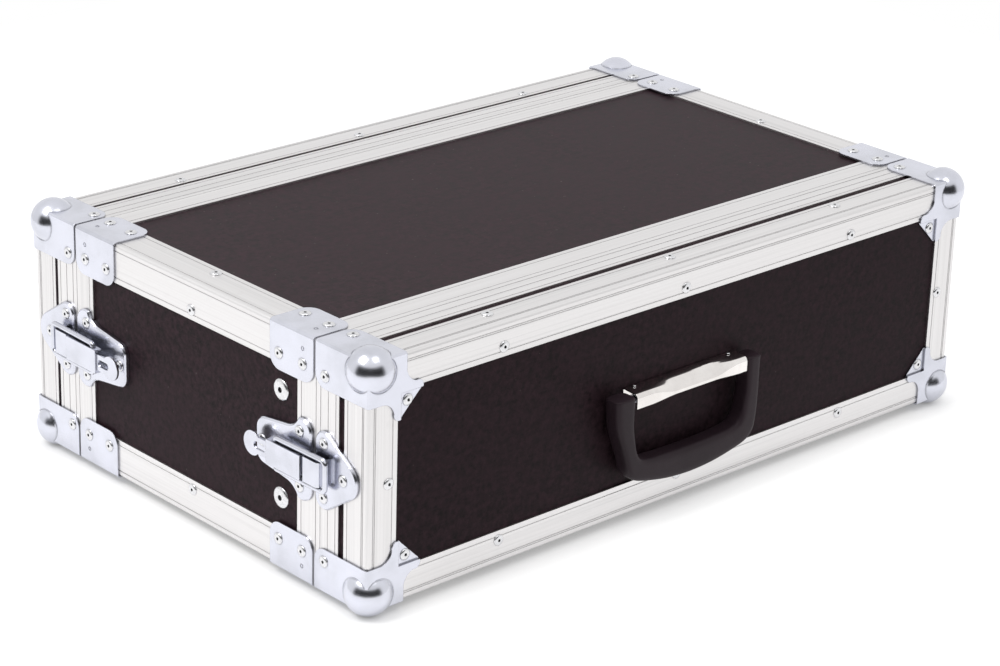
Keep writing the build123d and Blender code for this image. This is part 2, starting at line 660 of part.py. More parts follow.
def u_outline(top_half, knee_z, foot_half, corner_z, low_z):
    """A U with tapering legs and a bowed foot, cut off flat at its top."""
    left = [
        Line((-top_half, LEG_TOP), (-top_half, knee_z)),
        Line((-top_half, knee_z), (-foot_half, corner_z)),
    ]
    right = [
        Line((foot_half, corner_z), (top_half, knee_z)),
        Line((top_half, knee_z), (top_half, LEG_TOP)),
    ]
    foot = ThreePointArc((-foot_half, corner_z), (0, low_z), (foot_half, corner_z))
    return make_face([*left, foot, *right, Line((top_half, LEG_TOP), (-top_half, LEG_TOP))])


def handle_grip():
    """The moulded handle: two legs with blind bores, tapering to a bowed grip."""
    outer = u_outline(HANDLE_HALF_WIDTH, KNEE_Z, HANDLE_FOOT_HALF_WIDTH, GRIP_CORNER_Z, GRIP_BOTTOM)
    heels = outer.vertices().filter_by(lambda v: abs(v.Y - GRIP_CORNER_Z) < 0.01)
    outer = fillet(heels, HANDLE_THICK / 2)
    inner_half = HANDLE_HALF_WIDTH - HANDLE_LEG
    inner_foot = HANDLE_FOOT_HALF_WIDTH - HANDLE_LEG
    inner = u_outline(inner_half, KNEE_Z, inner_foot, GRIP_SHOULDER_Z, GRIP_TOP)
    feet = inner.vertices().filter_by(lambda v: abs(v.Y - GRIP_SHOULDER_Z) < 0.01)
    inner = fillet(feet, HANDLE_LEG / 2)
    plane = Plane(origin=(HANDLE_MIDDLE, -HANDLE_PIVOT_OUT, 0), x_dir=(1, 0, 0), z_dir=(0, -1, 0))
    grip = extrude(plane * (outer - inner), amount=HANDLE_THICK / 2, both=True)
    faces = grip.faces().filter_by(Axis.Y)
    return chamfer(faces.edges(), HANDLE_ROUND)


def build_handle():
    """The front lid's drop handle with its bracket, rivets and pivot bar."""
    bar_length = 2 * (HANDLE_HALF_WIDTH - HANDLE_LEG / 4)
    pivot = Pos(HANDLE_MIDDLE, -HANDLE_PIVOT_OUT, HANDLE_PIVOT_Z) * Rot(0, 90, 0)
    grip = handle_grip() - pivot * Cylinder(PIVOT_BAR_RADIUS + HANDLE_PLAY, bar_length + PLATE)
    save("handle_grip", grip)
    save("handle_pivot_bar", pivot * Cylinder(PIVOT_BAR_RADIUS, bar_length))
    save("handle_bracket", handle_saddle())
    highest = SADDLE_RIVET_OUT - SADDLE_RIVET_RADIUS
    seat_z = SADDLE_TOP - SADDLE_TOP_FALL * (highest - PLATE / 2) / (SADDLE_OUT - PLATE)
    heads = [
        rivet(
            (HANDLE_MIDDLE + x, SKIN - SADDLE_RIVET_OUT, seat_z),
            (0, 0, 1),
            SADDLE_RIVET_RADIUS,
            SADDLE_RIVET_HEAD,
        )
        for x in (-SADDLE_RIVET_X, SADDLE_RIVET_X)
    ]
    save("handle_bracket_rivets", *heads)


build_sleeve_panels()
build_edge_profiles()
build_rims()
build_brackets()
build_rails()
build_latches()
build_lid("front")
build_lid("rear")
build_handle()
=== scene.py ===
import json
from math import copysign, cos, pi, radians, sin, tan

import bmesh
import bpy
from mathutils import Matrix, Vector


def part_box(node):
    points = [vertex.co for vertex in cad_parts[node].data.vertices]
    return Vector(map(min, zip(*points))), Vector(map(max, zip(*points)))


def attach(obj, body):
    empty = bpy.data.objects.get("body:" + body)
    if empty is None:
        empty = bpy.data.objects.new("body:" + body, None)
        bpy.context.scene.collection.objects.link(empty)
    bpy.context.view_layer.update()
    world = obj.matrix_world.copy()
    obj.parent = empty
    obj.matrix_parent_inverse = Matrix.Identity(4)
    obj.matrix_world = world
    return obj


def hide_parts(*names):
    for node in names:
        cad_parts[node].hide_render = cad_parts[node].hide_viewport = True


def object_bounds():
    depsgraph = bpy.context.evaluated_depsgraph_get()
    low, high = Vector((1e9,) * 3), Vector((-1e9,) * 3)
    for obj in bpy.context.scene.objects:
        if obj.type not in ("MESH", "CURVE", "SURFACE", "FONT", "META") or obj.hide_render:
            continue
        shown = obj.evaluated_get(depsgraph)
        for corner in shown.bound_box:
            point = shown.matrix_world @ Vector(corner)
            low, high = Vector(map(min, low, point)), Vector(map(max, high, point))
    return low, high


# A flat plywood rack case with aluminium edges, ball corners and toggle latches, on a plain pale floor.
# Everything is in metres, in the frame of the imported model.

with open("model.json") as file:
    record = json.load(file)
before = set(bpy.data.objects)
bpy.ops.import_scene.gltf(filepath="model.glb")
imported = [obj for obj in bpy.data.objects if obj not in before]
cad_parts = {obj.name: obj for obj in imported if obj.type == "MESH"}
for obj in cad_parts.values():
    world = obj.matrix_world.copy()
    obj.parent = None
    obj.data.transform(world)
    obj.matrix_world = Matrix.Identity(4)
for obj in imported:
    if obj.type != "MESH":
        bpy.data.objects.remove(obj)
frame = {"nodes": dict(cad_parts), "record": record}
CAD_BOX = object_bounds()
NODES = frame["nodes"]
MIDDLE = (CAD_BOX[0] + CAD_BOX[1]) / 2

MM = 0.001
HALF_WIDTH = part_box("edge_profile_top_right")[1].x
CASE_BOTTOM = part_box("edge_profile_bottom_left")[0].z
CASE_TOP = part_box("edge_profile_top_left")[1].z
MID_HEIGHT = (CASE_BOTTOM + CASE_TOP) / 2
LID_FACES = (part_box("front_lid_angle_frame")[0].y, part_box("rear_lid_angle_frame")[1].y)
CORNERS = [(x, z) for x in (-1, 1) for z in (-1, 1)]

# The photograph's camera: metres, degrees and millimetres
CAMERA_PLACE = Vector((-1.31358, -1.39860, 0.84820))
CAMERA_AZIMUTH = -43.014
CAMERA_ELEVATION = 22.189
CAMERA_ROLL = 1.746
CAMERA_LENS = 109.755
SENSOR_WIDTH = 36.0
CLIP_START = 0.01

# Light: the world and its dark side, the floor with a painted shadow in its glow under the case, and two soft
# boxes
WORLD_STRENGTH = 0.28
DARK_ROOM = 0.03
DARK_HEIGHT = (0.42, 0.62)
DARK_SIDE = (0.15, 0.55)
FLOOR_COLOUR = 0.62
FLOOR_GLOW = 0.84
FLOOR_SIZE = 2.0
PAINTED_SHADOW_REACH = 0.027
PAINTED_SHADOW_LOW = 0.22
PAINTED_SHADOW_SAMPLES = 8
LEFT_BOX = {"place": (-1.35, 0.20, 1.85), "size": 0.9, "power": 22.0}
RIGHT_BOX = {"place": (-0.10, -1.00, 2.00), "size": 0.7, "power": 5.0}

# Painted shade in the corners between pieces, and softened edges, in the materials
PAINTED_SHADE_SAMPLES = 6
PAINTED_SHADE_OPEN = (0.35, 0.95)
PAINTED_SHADE_COLOUR = (0.02, 0.02, 0.02)
EDGE_SAMPLES = 4

# Angles in degrees above which an edge stays sharp, and steps round a wire and along its bends
SMOOTH_ANGLE = 40
RIVET_SMOOTH_ANGLE = 50
SADDLE_SMOOTH_ANGLE = 28
WIRE_STEPS = 16
BEND_STEPS = 10


# Meshes

def mesh_piece(name, points, faces, body, materials, indices=None, smooth=SMOOTH_ANGLE):
    """A new piece that rides on a body and takes its finish from a material slot."""
    mesh = bpy.data.meshes.new(name)
    mesh.from_pydata([tuple(p) for p in points], [], faces)
    mesh.update()
    for material in materials:
        mesh.materials.append(material)
    if indices:
        mesh.polygons.foreach_set("material_index", indices)
    mesh.shade_smooth()
    mesh.set_sharp_from_angle(angle=radians(smooth))
    piece = bpy.data.objects.new(name, mesh)
    bpy.context.scene.collection.objects.link(piece)
    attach(piece, body)
    return piece


def islands(node):
    """The points of each separate solid of a node."""
    mesh = NODES[node].data
    points = [v.co.copy() for v in mesh.vertices]
    place = {}
    same = [place.setdefault(tuple(round(c / MM, 2) for c in p), i) for i, p in enumerate(points)]
    root = list(range(len(points)))

    def find(i):
        while root[i] != i:
            root[i] = root[root[i]]
            i = root[i]
        return i

    for polygon in mesh.polygons:
        first = find(same[polygon.vertices[0]])
        for i in polygon.vertices[1:]:
            root[find(same[i])] = first
    groups = {}
    for i, point in enumerate(points):
        groups.setdefault(find(same[i]), []).append(point)
    return list(groups.values())


def band_faces(rings, count):
    """The faces between closed rings that have the same number of points each."""
    faces = []
    for ring in range(rings - 1):
        start = ring * count
        above = start + count
        for k in range(count):
            following = (k + 1) % count
            faces.append((start + k, start + following, above + following, above + k))
    return faces


def capped_faces(rings, count):
    """The faces between the rings, then one over the first ring and one over the last."""
    last = (rings - 1) * count
    return band_faces(rings, count) + [tuple(reversed(range(count))), tuple(range(last, last + count))]


def add_surface(points, faces, new_points, new_faces):
    """One more surface added to the lists of a piece."""
    start = len(points)
    points += new_points
    faces += [tuple(i + start for i in face) for face in new_faces]


def turned(profile, steps, seat, normal):
    """A lathed surface on a seat, and the number of the profile's segment that each face belongs to."""
    upright = Vector((0, 0, 1)).rotation_difference(normal).to_matrix()
    turns = [2 * pi * k / steps for k in range(steps)]
    points = [seat + upright @ Vector((r * cos(t), r * sin(t), h)) for r, h in profile for t in turns]
    last = len(profile) - 1
    segments = [row for row in range(last) for k in range(steps)] + [0, last]
    return points, capped_faces(len(profile), steps), segments


def tube(route, radius, steps=WIRE_STEPS):
    """A round wire along a route of points, of one radius or of one for each point."""
    radii = radius if isinstance(radius, list) else [radius] * len(route)
    points = []
    side = None
    for i, point in enumerate(route):
        before = route[max(i - 1, 0)]
        after = route[min(i + 1, len(route) - 1)]
        along = (after - before).normalized()
        if side is None:
            side = along.orthogonal().normalized()
        side = (side - along * side.dot(along)).normalized()
        other = along.cross(side)
        for k in range(steps):
            angle = 2 * pi * k / steps
            points.append(point + radii[i] * (cos(angle) * side + sin(angle) * other))
    return points, capped_faces(len(route), steps)


def rounded_route(corners, radii):
    """Straight runs with an arc at each inner corner."""
    route = [corners[0]]
    for i in range(1, len(corners) - 1):
        corner = corners[i]
        to_before = (corners[i - 1] - corner).normalized()
        to_after = (corners[i + 1] - corner).normalized()
        radius = radii[i - 1]
        start = corner + radius * to_before
        centre = start + radius * to_after
        for k in range(BEND_STEPS + 1):
            angle = pi / 2 * k / BEND_STEPS
            route.append(centre - radius * cos(angle) * to_after - radius * sin(angle) * to_before)
    route.append(corners[-1])
    return route


# Materials

class Nodes:
    """A node tree whose nodes are added by kind, with inputs given by name or number."""

    def __init__(self, tree):
        self.tree = tree

    def set(self, node, values):
        for key, value in values.items():
            socket = node.inputs[key.replace("_", " ") if isinstance(key, str) else key]
            if isinstance(value, bpy.types.NodeSocket):
                self.tree.links.new(value, socket)
            else:
                socket.default_value = value

    def add(self, kind, settings=None, **values):
        node = self.tree.nodes.new(kind)
        for key, value in (settings or {}).items():
            setattr(node, key, value)
        self.set(node, values)
        return node

    def math(self, operation, a, b):
        node = self.add("ShaderNodeMath", {"operation": operation})
        self.set(node, {0: a, 1: b})
        return node.outputs[0]

    def vector_math(self, operation, a, b):
        node = self.add("ShaderNodeVectorMath", {"operation": operation})
        self.set(node, {0: a, 1: b})
        return node.outputs["Value" if operation == "DOT_PRODUCT" else "Vector"]

    def remap(self, value, old, new, curve="LINEAR"):
        """A value moved from one range of (low, high) to another, and held inside it."""
        limits = {"From Min": old[0], "From Max": old[1], "To Min": new[0], "To Max": new[1]}
        node = self.add("ShaderNodeMapRange", {"interpolation_type": curve}, Value=value)
        self.set(node, limits)
        return node.outputs["Result"]

    def occlusion(self, samples, reach):
        """One in the open, and less where something is near."""
        return self.add("ShaderNodeAmbientOcclusion", {"samples": samples}, Distance=reach).outputs["AO"]

    def parts(self, vector):
        node = self.add("ShaderNodeSeparateXYZ")
        self.set(node, {0: vector})
        return node.outputs

    def seen_rays(self):
        """One where a ray comes from the camera, a reflection or glass, and nothing otherwise."""
        path = self.add("ShaderNodeLightPath").outputs
        mirrored = self.math("MAXIMUM", path["Is Camera Ray"], path["Is Glossy Ray"])
        return self.math("MAXIMUM", mirrored, path["Is Transmission Ray"])


class Shader(Nodes):
    """A material with one Principled surface."""

    def __init__(self, name, **values):
        self.material = bpy.data.materials.new(name)
        self.material.use_nodes = True
        super().__init__(self.material.node_tree)
        self.surface = self.tree.nodes["Principled BSDF"]
        self.set(self.surface, values)

    def place(self):
        """The point on the object at rest, which rides with the piece."""
        return self.add("ShaderNodeTexCoord").outputs["Object"]

    def noise(self, vector, scale, detail=3.0, roughness=0.6):
        node = self.add("ShaderNodeTexNoise", Vector=vector, Scale=scale, Detail=detail, Roughness=roughness)
        return node.outputs["Fac"]

    def ramp(self, value, stops):
        """A value turned to a colour by stops of (place, colour)."""
        node = self.add("ShaderNodeValToRGB", Fac=value)
        elements = node.color_ramp.elements
        while len(elements) < len(stops):
            elements.new(0.5)
        for element, (place, colour) in zip(elements, stops):
            element.position = place
            element.color = (*colour, 1.0)
        return node.outputs["Color"]

    def mix(self, factor, a, b):
        """A colour mixed towards a fixed one."""
        node = self.add("ShaderNodeMix", {"data_type": "RGBA"})
        self.set(node, {0: factor, 6: a, 7: (*b, 1.0)})
        return node.outputs[2]

    def bump(self, height, distance, strength, normal=None):
        node = self.add("ShaderNodeBump", Height=height, Strength=strength, Distance=distance)
        if normal is not None:
            self.set(node, {"Normal": normal})
        return node.outputs["Normal"]

    def with_painted_shade(self, colour, reach, darkest):
        """The colour with painted shade: darker in the corners where pieces meet."""
        # Painted shade: occlusion mixes the colour towards near black in corners and crevices.
        share = self.remap(self.occlusion(PAINTED_SHADE_SAMPLES, reach), PAINTED_SHADE_OPEN, (1.0 - darkest, 0.0))
        return self.mix(share, colour, PAINTED_SHADE_COLOUR)

    def soft_edges(self, radius):
        """A normal that rounds sharp edges, as rolled and drawn metal has them."""
        return self.add("ShaderNodeBevel", {"samples": EDGE_SAMPLES}, Radius=radius).outputs["Normal"]

    def finish(self, colour, roughness, normal):
        """The finished material with its three varying inputs."""
        self.set(self.surface, {"Base Color": colour, "Roughness": roughness, "Normal": normal})
        return self.material


# The middle part of a noise, where most of its values are
USUAL = (0.3, 0.7)


def plywood_material():
    """Dark brown resin film over plywood: mottled, with faint fibres and a few pale specks."""
    s = Shader("coated_plywood", Specular_IOR_Level=0.08)
    place = s.place()
    mottle = s.noise(place, scale=240.0, detail=5.0, roughness=0.7)
    cloud = s.noise(place, scale=14.0)
    fibres = s.noise(s.vector_math("MULTIPLY", place, (60.0, 900.0, 900.0)), scale=1.0)
    specks = s.noise(place, scale=330.0, detail=1.0)
    colour = s.ramp(mottle, [(0.34, (0.004, 0.0020, 0.0026)), (0.68, (0.056, 0.0300, 0.0385))])
    colour = s.mix(s.remap(cloud, (0.35, 0.65), (0.0, 0.35)), colour, (0.034, 0.0185, 0.0235))
    colour = s.mix(s.remap(fibres, (0.45, 0.75), (0.0, 0.30)), colour, (0.050, 0.0290, 0.0360))
    colour = s.mix(s.remap(specks, (0.765, 0.80), (0.0, 0.55)), colour, (0.16, 0.135, 0.13))
    height = s.math("ADD", mottle, s.math("MULTIPLY", fibres, 0.6))
    normal = s.bump(height, distance=0.05 * MM, strength=0.5)
    return s.finish(colour, s.remap(mottle, USUAL, (0.42, 0.56)), normal)


# Drawn lines: how fine they are across and along, and their share in the whole
FINE_LINES = (850.0, 5.0, 0.6)
BROAD_LINES = (160.0, 1.5, 0.4)


def streaks(s, place, axis):
    """Drawn lines along one axis: a fine and a broad set."""
    sets = []
    for across, along, share in (FINE_LINES, BROAD_LINES):
        scale = [across, across, across]
        scale[axis] = along
        lines = s.noise(s.vector_math("MULTIPLY", place, scale), scale=1.0, detail=2.0)
        sets.append(s.math("MULTIPLY", lines, share))
    return s.math("ADD", *sets)


def frame_streaks(s, place):
    """Drawn lines along each side of a frame whose corners are mitred: across on top, upright at the ends."""
    x, y, z = s.parts(place)
    from_end = s.math("SUBTRACT", HALF_WIDTH, s.math("ABSOLUTE", x, 0.0))
    off_middle = s.math("ABSOLUTE", s.math("SUBTRACT", z, MID_HEIGHT), 0.0)
    from_edge = s.math("SUBTRACT", CASE_TOP - MID_HEIGHT, off_middle)
    upright = s.math("LESS_THAN", from_end, from_edge)
    lines = s.add("ShaderNodeMix", {"data_type": "FLOAT"})
    s.set(lines, {0: upright, 2: streaks(s, place, 0), 3: streaks(s, place, 2)})
    return lines.outputs[0]


def aluminium_material(name, framed):
    """Drawn aluminium, with lines along the case's depth, or round a mitred frame, and painted shade in its
    corners.
    """
    s = Shader(name, Metallic=1.0)
    place = s.place()
    lines = frame_streaks(s, place) if framed else streaks(s, place, 1)
    marks = s.noise(place, scale=55.0, detail=4.0)
    stops = [(0.32, (0.66, 0.65, 0.65)), (0.5, (0.75, 0.735, 0.735)), (0.68, (0.79, 0.78, 0.78))]
    colour = s.ramp(lines, stops)
    colour = s.mix(s.remap(marks, (0.62, 0.78), (0.0, 0.25)), colour, (0.60, 0.59, 0.59))
    # Painted shade: the colour darkens where the aluminium meets other pieces and in its grooves.
    colour = s.with_painted_shade(colour, reach=1.0 * MM, darkest=0.74)
    normal = s.bump(lines, distance=0.06 * MM, strength=0.5, normal=s.soft_edges(0.35 * MM))
    return s.finish(colour, s.remap(lines, USUAL, (0.30, 0.42)), normal)


def zinc_material():
    """Bright zinc on pressed steel: bluish, with faint clouds, painted shade in its corners, and softened
    folds.
    """
    s = Shader("zinc_steel", Metallic=1.0)
    place = s.place()
    cloud = s.noise(place, scale=38.0, detail=4.0, roughness=0.55)
    grain = s.noise(place, scale=900.0, detail=2.0)
    stops = [(0.33, (0.58, 0.59, 0.65)), (0.5, (0.65, 0.66, 0.73)), (0.68, (0.69, 0.70, 0.78))]
    # Painted shade: the colour darkens strongly where the zinc plates meet other pieces.
    colour = s.with_painted_shade(s.ramp(cloud, stops), reach=1.6 * MM, darkest=0.15)
    height = s.math("ADD", grain, s.math("MULTIPLY", cloud, 3.0))
    normal = s.bump(height, distance=0.02 * MM, strength=0.5, normal=s.soft_edges(0.5 * MM))
    return s.finish(colour, s.remap(cloud, USUAL, (0.19, 0.27)), normal)


def rivet_material():
    """The bright steel of the rivet heads."""
    s = Shader("rivet_steel", Metallic=1.0)
    grain = s.noise(s.place(), scale=700.0)
    colour = s.ramp(grain, [(0.3, (0.60, 0.60, 0.62)), (0.7, (0.80, 0.80, 0.81))])
    normal = s.bump(grain, distance=0.02 * MM, strength=0.4)
    return s.finish(colour, s.remap(grain, USUAL, (0.20, 0.32)), normal)


def nickel_material():
    """Polished nickel plate on the handle's bracket."""
    s = Shader("nickel_sheet", Metallic=1.0)
    place = s.place()
    haze = s.noise(place, scale=60.0)
    pits = s.noise(place, scale=900.0, detail=2.0)
    colour = s.ramp(haze, [(0.35, (0.72, 0.69, 0.67)), (0.65, (0.82, 0.79, 0.77))])
    colour = s.mix(s.remap(pits, (0.70, 0.78), (0.0, 0.5)), colour, (0.35, 0.32, 0.30))
    normal = s.bump(haze, distance=0.05 * MM, strength=0.3, normal=s.soft_edges(0.3 * MM))
    return s.finish(colour, s.remap(haze, USUAL, (0.07, 0.13)), normal)


def plastic_material():
    """Matt dark moulded plastic with a fine spark-eroded skin."""
    s = Shader("handle_plastic", Specular_IOR_Level=0.22)
    place = s.place()
    skin = s.noise(place, scale=1500.0)
    cloud = s.noise(place, scale=30.0)
    colour = s.ramp(cloud, [(0.35, (0.026, 0.0150, 0.0205)), (0.65, (0.035, 0.0210, 0.0280))])
    normal = s.bump(skin, distance=0.05 * MM, strength=0.6, normal=s.soft_edges(0.8 * MM))
    return s.finish(colour, s.remap(skin, USUAL, (0.42, 0.58)), normal)


def rail_material():
    """Black powder coat on the rack rails."""
    s = Shader("rail_steel", Specular_IOR_Level=0.4)
    skin = s.noise(s.place(), scale=1100.0, detail=4.0)
    colour = s.ramp(skin, [(0.3, (0.012, 0.012, 0.014)), (0.7, (0.028, 0.028, 0.031))])
    normal = s.bump(skin, distance=0.06 * MM, strength=0.7, normal=s.soft_edges(0.4 * MM))
    return s.finish(colour, s.remap(skin, USUAL, (0.40, 0.58)), normal)


def bore_shade_material():
    """The inside of a rivet's hole, painted near black as shade."""
    s = Shader("rivet_bore_painted_shade", Roughness=0.7)
    grain = s.noise(s.place(), scale=800.0)
    colour = s.ramp(grain, [(0.3, (0.010, 0.010, 0.012)), (0.7, (0.035, 0.034, 0.036))])
    s.set(s.surface, {"Base Color": colour})
    return s.material


PLYWOOD = plywood_material()
ALUMINIUM_DEPTH = aluminium_material("aluminium_depth", framed=False)
ALUMINIUM_FRAME = aluminium_material("aluminium_frame", framed=True)
ZINC = zinc_material()
RIVET = rivet_material()
NICKEL = nickel_material()
PLASTIC = plastic_material()
RAIL = rail_material()
BORE_SHADE = bore_shade_material()

SLOT_MATERIALS = {
    "coated_plywood": PLYWOOD,
    "aluminium_profile": ALUMINIUM_FRAME,
    "zinc_steel": ZINC,
    "rail_steel": RAIL,
    "nickel_sheet": NICKEL,
    "handle_plastic": PLASTIC,
}


def slot_of(node):
    """The record's material slot of a node."""
    return next(part["material_slot"] for part in frame["record"]["subparts"] if part["node"] == node)


def body_of(node):
    """The body that a node rides on."""
    return next(body for body, nodes in frame["record"]["behaviour"]["bodies"].items() if node in nodes)


def paint_nodes():
    """Every carried-over node gets the material of its slot."""
    for name, node in NODES.items():
        material = SLOT_MATERIALS[slot_of(name)]
        if name.startswith("edge_profile"):
            material = ALUMINIUM_DEPTH
        node.data.materials.clear()
        node.data.materials.append(material)


# Detailed pieces

# Rivet heads: the hole from its floor to its lip, as shares of the head's radius and height, then the places
# on the dome and the heights of its rim and foot, and the heads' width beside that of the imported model
RIVET_HOLE = [(0.02, 0.25), (0.26, 0.25), (0.26, 0.86), (0.34, 0.97), (0.46, 1.0)]
RIVET_DOME = (0.3, 0.5, 0.7, 0.85, 1.0)
RIVET_RIM = 0.12
RIVET_SINK = -0.02
RIVET_STEPS = 28
RIVET_SPREAD = 1.15
RAIL_RIVET_RADIUS = 5 * MM
RAIL_RIVET_SPREAD = 0.94


def rivet_profile(radius, height):
    """A domed head with a hole left by its pulled pin."""
    flat = RIVET_HOLE[-1][0]
    profile = list(RIVET_HOLE)
    for share in RIVET_DOME:
        angle = share * pi / 2
        profile.append((flat + (1 - flat) * sin(angle), RIVET_RIM + (1 - RIVET_RIM) * cos(angle)))
    profile.append((1.0, RIVET_SINK))
    return [(across * radius, up * height) for across, up in profile]


def seat_of(points):
    """Where a rivet head sits, which way it faces, its radius and its height."""
    low = Vector(min(p[k] for p in points) for k in range(3))
    high = Vector(max(p[k] for p in points) for k in range(3))
    size = high - low
    thin = min(range(3), key=lambda k: size[k])
    centre = (low + high) / 2
    outward = 1 if centre[thin] > MIDDLE[thin] else -1
    normal = Vector((0, 0, 0))
    normal[thin] = outward
    seat = centre - normal * size[thin] / 2
    return seat, normal, max(size) / 2, size[thin]


def rivet_heads(node):
    """Domed heads with holes for all the rivets of one node."""
    points = []
    faces = []
    indices = []
    for group in islands(node):
        seat, normal, radius, height = seat_of(group)
        radius *= RIVET_SPREAD if radius < RAIL_RIVET_RADIUS else RAIL_RIVET_SPREAD
        head, head_faces, segments = turned(rivet_profile(radius, height), RIVET_STEPS, seat, normal)
        add_surface(points, faces, head, head_faces)
        # Painted shade: the hole's floor and wall take the near-black bore material.
        indices += [1 if segment < 2 else 0 for segment in segments]
    name = f"{node}_heads"
    finishes = [RIVET, BORE_SHADE]
    body = body_of(node)
    piece = mesh_piece(name, points, faces, body, finishes, indices, RIVET_SMOOTH_ANGLE)
    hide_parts(node)


# The wire of a latch: its bends, and how far its ends reach into the lever's cheeks
WIRE_RADIUS = 1.75 * MM
BAIL_BEND = 3.0 * MM
BAIL_END_BEND = 1.9 * MM
BAIL_END = 3.2 * MM


def bail(place):
    """The bent wire of one latch, smooth and round."""
    node = f"latch_bail_{place}"
    low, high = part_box(node)
    ends = (low.x + WIRE_RADIUS, high.x - WIRE_RADIUS)
    bar_x, pivot_x = sorted(ends, key=abs)
    ends = (low.y + WIRE_RADIUS, high.y - WIRE_RADIUS)
    bar_y, pivot_y = ends if place.startswith("front") else reversed(ends)
    mid_z = (low.z + high.z) / 2
    half = (high.z - low.z) / 2 - WIRE_RADIUS
    inside = half - BAIL_END
    corners = [
        Vector((pivot_x, pivot_y, mid_z + inside)),
        Vector((pivot_x, pivot_y, mid_z + half)),
        Vector((bar_x, bar_y, mid_z + half)),
        Vector((bar_x, bar_y, mid_z - half)),
        Vector((pivot_x, pivot_y, mid_z - half)),
        Vector((pivot_x, pivot_y, mid_z - inside)),
    ]
    route = rounded_route(corners, [BAIL_END_BEND, BAIL_BEND, BAIL_BEND, BAIL_END_BEND])
    points, faces = tube(route, WIRE_RADIUS)
    piece = mesh_piece(f"{node}_wire", points, faces, body_of(node), [ZINC])
    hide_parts(node)


def smooth_step(value, low, high):
    """Nothing below one value, one above the other, and an even curve between them."""
    share = min(max((value - low) / (high - low), 0.0), 1.0)
    return share * share * (3 - 2 * share)


# The handle's outer and inner edge, from the top of a leg to the middle of the grip:
# half width and height in millimetres
GRIP_OUTER = [
    (65.2, 88.6),
    (64.8, 78.0),
    (64.0, 68.0),
    (61.9, 57.0),
    (59.6, 46.0),
    (57.2, 36.5),
    (51.5, 30.2),
    (38.0, 26.2),
    (20.0, 23.0),
    (0.0, 21.8),
]
GRIP_INNER = [
    (51.2, 88.6),
    (51.2, 78.0),
    (51.2, 68.0),
    (49.9, 59.0),
    (48.2, 51.0),
    (44.5, 45.0),
    (38.0, 42.6),
    (28.0, 41.8),
    (15.0, 41.3),
    (0.0, 41.1),
]
# How far the outer edge leans sideways at the top and below, and where it changes, all in millimetres
GRIP_LEAN = (-3.4, 1.6)
GRIP_LEAN_FADE = (10.0, 50.0)
GRIP_INNER_LEAN = -0.8
GRIP_DEPTH = 13.4 * MM
GRIP_FORWARD = 0.7 * MM
GRIP_SQUARENESS = 4.6
GRIP_SIDES = 44
GRIP_STEPS = 5
# The rounding of the legs' tops: millimetres down, and the share of the full section there
GRIP_END = ((0.0, 0.91), (0.25, 0.97), (0.8, 1.0))


def between_points(a, b, c, d, t):
    """A smooth curve through b and c."""
    return 0.5 * (2 * b + (c - a) * t + (2 * a - 5 * b + 4 * c - d) * t**2 + (3 * b - a - 3 * c + d) * t**3)


def curve_through(points, steps):
    """Points along a smooth curve through all the given points."""
    route = []
    for i in range(len(points) - 1):
        a = points[max(i - 1, 0)]
        d = points[min(i + 2, len(points) - 1)]
        route += [between_points(a, points[i], points[i + 1], d, k / steps) for k in range(steps)]
    return route + [points[-1]]


def outer_lean(up):
    """How far the grip's outer edge leans sideways at one height."""
    share = smooth_step(GRIP_OUTER[0][1] - up, *GRIP_LEAN_FADE)
    return GRIP_LEAN[0] + (GRIP_LEAN[1] - GRIP_LEAN[0]) * share


def inner_lean(up):
    """How far the grip's inner edge leans, which is the same at each height."""
    return GRIP_INNER_LEAN


def grip_edge(outline, lean, middle, depth):
    """One edge of the U, from the top of its left leg to the top of its right one."""
    both = [(-1, *spot) for spot in outline] + [(1, *spot) for spot in reversed(outline[:-1])]
    points = []
    for side, across, up in both:
        points.append(Vector((middle + (side * across + lean(up)) * MM, depth, CASE_BOTTOM + up * MM)))
    return curve_through(points, GRIP_STEPS)


def rounded_end(outer, inner):
    """The stations that round the top of a leg."""
    down = Vector((0, 0, -MM))
    return [(outer + down * depth, inner + down * depth, size) for depth, size in GRIP_END]


def grip_section(outer, inner, size):
    """The soft square section between the outer and the inner edge."""
    ring = []
    for k in range(GRIP_SIDES):
        angle = 2 * pi * (k + 0.5) / GRIP_SIDES
        across = copysign(abs(cos(angle)) ** (2 / GRIP_SQUARENESS), cos(angle))
        out = copysign(abs(sin(angle)) ** (2 / GRIP_SQUARENESS), sin(angle))
        offset = across * (outer - inner) / 2 + Vector((0, out * GRIP_DEPTH / 2, 0))
        ring.append((outer + inner) / 2 + size * offset)
    return ring


def handle_grip():
    """The moulded grip, which swells at the heels of the U."""
    low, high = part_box("handle_grip")
    middle = (low.x + high.x) / 2
    depth = (low.y + high.y) / 2 - GRIP_FORWARD
    outer = grip_edge(GRIP_OUTER, outer_lean, middle, depth)
    inner = grip_edge(GRIP_INNER, inner_lean, middle, depth)
    stations = rounded_end(outer[0], inner[0])
    stations += [(a, b, 1.0) for a, b in zip(outer[1:-1], inner[1:-1])]
    stations += reversed(rounded_end(outer[-1], inner[-1]))
    points = [p for station in stations for p in grip_section(*station)]
    faces = capped_faces(len(stations), GRIP_SIDES)
    body = body_of("handle_grip")
    piece = mesh_piece("handle_grip_moulded", points, faces, body, [PLASTIC])
    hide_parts("handle_grip")


